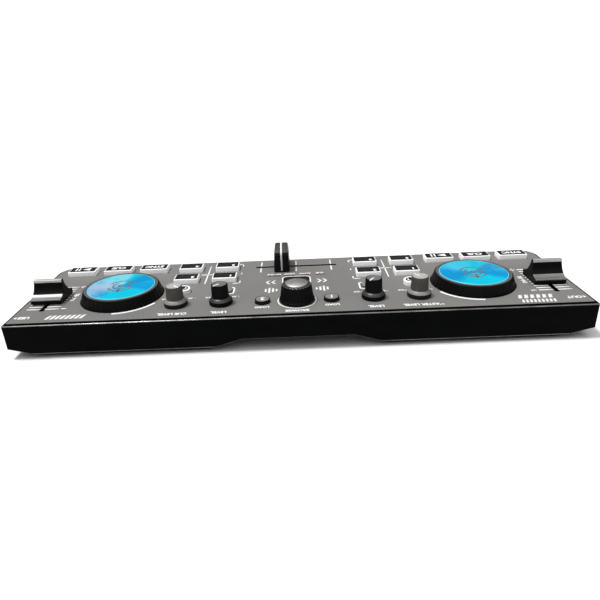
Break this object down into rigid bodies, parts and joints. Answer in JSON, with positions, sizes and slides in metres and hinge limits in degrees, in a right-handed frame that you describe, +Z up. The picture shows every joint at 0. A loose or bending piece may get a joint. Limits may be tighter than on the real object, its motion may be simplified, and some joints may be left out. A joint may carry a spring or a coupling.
{
  "type": "dj controller",
  "caption": "Compact two-deck DJ controller: jog wheels, pitch faders, crossfader, level and browse knobs, performance pads and transport keys on a slim case.",
  "frame": {"origin": "on the desk under the centre of the case, at the bottom of the rubber feet", "axes": "+X is the player's right, +Y points to the rear edge away from the player, +Z up"},
  "size_m": [0.313, 0.086, 0.036],
  "materials": {
    "case_black": "satin moulded",
    "panel_grey": "fine matte grain with white print",
    "foot_rubber": "matte",
    "zinc_steel": "zinc plated",
    "board_green": "solder mask",
    "part_black": "moulded",
    "led_lens": "milky",
    "pot_metal": "pressed can",
    "socket_steel": "plated",
    "jog_black": "satin",
    "jog_blue": "metallic blue",
    "steel": "turned",
    "plate_steel": "pressed",
    "fader_cap": "dark metallic gloss",
    "cross_cap": "satin with white line",
    "knob_black": "soft touch",
    "knob_grey": "soft touch",
    "insert_silver": "spun",
    "sleeve_nylon": "natural",
    "key_white": "translucent white with dark inset",
    "load_grey": "matte",
    "mode_grey": "matte"
  },
  "bodies": {
    "chassis": {"bottom_case": "case_black", "top_panel": "panel_grey", "rubber_feet": "foot_rubber", "case_screws": "zinc_steel", "main_board": "board_green", "key_switches": "part_black", "pad_leds": "led_lens", "rotary_pots": "pot_metal", "browse_encoder": "pot_metal", "pitch_slide_pots": "pot_metal", "crossfader_pot": "pot_metal", "usb_socket": "socket_steel", "audio_jacks": "part_black", "jog_bearing_plates": "plate_steel", "jog_sensors": "part_black", "control_chips": "part_black"},
    "jog_left": {"jog_rim_left": "jog_black", "jog_disc_left": "jog_blue", "jog_spindle_left": "steel"},
    "pitch_left": {"pitch_cap_left": "fader_cap", "pitch_lever_left": "steel"},
    "jog_right": {"jog_rim_right": "jog_black", "jog_disc_right": "jog_blue", "jog_spindle_right": "steel"},
    "pitch_right": {"pitch_cap_right": "fader_cap", "pitch_lever_right": "steel"},
    "crossfader": {"crossfader_cap": "cross_cap", "crossfader_lever": "steel"},
    "level_left": {"level_knob_left": "knob_black", "level_shaft_left": "steel"},
    "level_right": {"level_knob_right": "knob_black", "level_shaft_right": "steel"},
    "master_level": {"master_knob": "knob_grey", "master_shaft": "steel"},
    "headphone_level": {"headphone_knob": "knob_grey", "headphone_shaft": "steel"},
    "browse_push": {"browse_sleeve": "sleeve_nylon"},
    "browse_turn": {"browse_knob": "knob_black", "browse_insert": "insert_silver", "browse_shaft": "steel"},
    "load_button_left_body": {"load_button_left": "load_grey"},
    "listen_button_left_body": {"listen_button_left": "key_white"},
    "mode_button_left_body": {"mode_button_left": "mode_grey"},
    "pad_left_1_body": {"pad_left_1": "key_white"},
    "pad_left_2_body": {"pad_left_2": "key_white"},
    "pad_left_3_body": {"pad_left_3": "key_white"},
    "pad_left_4_body": {"pad_left_4": "key_white"},
    "sync_key_left_body": {"sync_key_left": "key_white"},
    "cue_key_left_body": {"cue_key_left": "key_white"},
    "play_key_left_body": {"play_key_left": "key_white"},
    "load_button_right_body": {"load_button_right": "load_grey"},
    "listen_button_right_body": {"listen_button_right": "key_white"},
    "mode_button_right_body": {"mode_button_right": "mode_grey"},
    "pad_right_1_body": {"pad_right_1": "key_white"},
    "pad_right_2_body": {"pad_right_2": "key_white"},
    "pad_right_3_body": {"pad_right_3": "key_white"},
    "pad_right_4_body": {"pad_right_4": "key_white"},
    "sync_key_right_body": {"sync_key_right": "key_white"},
    "cue_key_right_body": {"cue_key_right": "key_white"},
    "play_key_right_body": {"play_key_right": "key_white"}
  },
  "joints": [
    {"name": "jog_left_spin", "type": "hinge", "parent": "chassis", "child": "jog_left", "pos_m": [-0.1013, 0.0087, 0.02], "axis": [0, 0, 1], "continuous": true},
    {"name": "pitch_left_slide", "type": "slide", "parent": "chassis", "child": "pitch_left", "axis": [0, 1, 0], "range_m": [-0.0156, 0.0144]},
    {"name": "jog_right_spin", "type": "hinge", "parent": "chassis", "child": "jog_right", "pos_m": [0.1013, 0.0087, 0.02], "axis": [0, 0, 1], "continuous": true},
    {"name": "pitch_right_slide", "type": "slide", "parent": "chassis", "child": "pitch_right", "axis": [0, 1, 0], "range_m": [-0.0168, 0.0132]},
    {"name": "crossfader_slide", "type": "slide", "parent": "chassis", "child": "crossfader", "axis": [1, 0, 0], "range_m": [-0.0309, 0.0131]},
    {"name": "level_left_turn", "type": "hinge", "parent": "chassis", "child": "level_left", "pos_m": [-0.042, 0.025, 0.02], "axis": [0, 0, -1], "range_deg": [-186, 114]},
    {"name": "level_right_turn", "type": "hinge", "parent": "chassis", "child": "level_right", "pos_m": [0.042, 0.025, 0.02], "axis": [0, 0, -1], "range_deg": [-194, 106]},
    {"name": "master_level_turn", "type": "hinge", "parent": "chassis", "child": "master_level", "pos_m": [-0.067, 0.025, 0.02], "axis": [0, 0, -1], "range_deg": [-292, 8]},
    {"name": "headphone_level_turn", "type": "hinge", "parent": "chassis", "child": "headphone_level", "pos_m": [0.067, 0.025, 0.02], "axis": [0, 0, -1], "range_deg": [-105, 195]},
    {"name": "browse_press", "type": "slide", "parent": "chassis", "child": "browse_push", "axis": [0, 0, -1], "range_m": [0, 0.0005]},
    {"name": "browse_spin", "type": "hinge", "parent": "browse_push", "child": "browse_turn", "pos_m": [0, 0.025, 0.02], "axis": [0, 0, -1], "continuous": true},
    {"name": "load_button_left_press", "type": "slide", "parent": "chassis", "child": "load_button_left_body", "axis": [0, 0, -1], "range_m": [0, 0.0008]},
    {"name": "listen_button_left_press", "type": "slide", "parent": "chassis", "child": "listen_button_left_body", "axis": [0, 0, -1], "range_m": [0, 0.0008]},
    {"name": "mode_button_left_press", "type": "slide", "parent": "chassis", "child": "mode_button_left_body", "axis": [0, 0, -1], "range_m": [0, 0.0008]},
    {"name": "pad_left_1_press", "type": "slide", "parent": "chassis", "child": "pad_left_1_body", "axis": [0, 0, -1], "range_m": [0, 0.0008]},
    {"name": "pad_left_2_press", "type": "slide", "parent": "chassis", "child": "pad_left_2_body", "axis": [0, 0, -1], "range_m": [0, 0.0008]},
    {"name": "pad_left_3_press", "type": "slide", "parent": "chassis", "child": "pad_left_3_body", "axis": [0, 0, -1], "range_m": [0, 0.0008]},
    {"name": "pad_left_4_press", "type": "slide", "parent": "chassis", "child": "pad_left_4_body", "axis": [0, 0, -1], "range_m": [0, 0.0008]},
    {"name": "sync_key_left_press", "type": "slide", "parent": "chassis", "child": "sync_key_left_body", "axis": [0, 0, -1], "range_m": [0, 0.0008]},
    {"name": "cue_key_left_press", "type": "slide", "parent": "chassis", "child": "cue_key_left_body", "axis": [0, 0, -1], "range_m": [0, 0.0008]},
    {"name": "play_key_left_press", "type": "slide", "parent": "chassis", "child": "play_key_left_body", "axis": [0, 0, -1], "range_m": [0, 0.0008]},
    {"name": "load_button_right_press", "type": "slide", "parent": "chassis", "child": "load_button_right_body", "axis": [0, 0, -1], "range_m": [0, 0.0008]},
    {"name": "listen_button_right_press", "type": "slide", "parent": "chassis", "child": "listen_button_right_body", "axis": [0, 0, -1], "range_m": [0, 0.0008]},
    {"name": "mode_button_right_press", "type": "slide", "parent": "chassis", "child": "mode_button_right_body", "axis": [0, 0, -1], "range_m": [0, 0.0008]},
    {"name": "pad_right_1_press", "type": "slide", "parent": "chassis", "child": "pad_right_1_body", "axis": [0, 0, -1], "range_m": [0, 0.0008]},
    {"name": "pad_right_2_press", "type": "slide", "parent": "chassis", "child": "pad_right_2_body", "axis": [0, 0, -1], "range_m": [0, 0.0008]},
    {"name": "pad_right_3_press", "type": "slide", "parent": "chassis", "child": "pad_right_3_body", "axis": [0, 0, -1], "range_m": [0, 0.0008]},
    {"name": "pad_right_4_press", "type": "slide", "parent": "chassis", "child": "pad_right_4_body", "axis": [0, 0, -1], "range_m": [0, 0.0008]},
    {"name": "sync_key_right_press", "type": "slide", "parent": "chassis", "child": "sync_key_right_body", "axis": [0, 0, -1], "range_m": [0, 0.0008]},
    {"name": "cue_key_right_press", "type": "slide", "parent": "chassis", "child": "cue_key_right_body", "axis": [0, 0, -1], "range_m": [0, 0.0008]},
    {"name": "play_key_right_press", "type": "slide", "parent": "chassis", "child": "play_key_right_body", "axis": [0, 0, -1], "range_m": [0, 0.0008]}
  ]
}
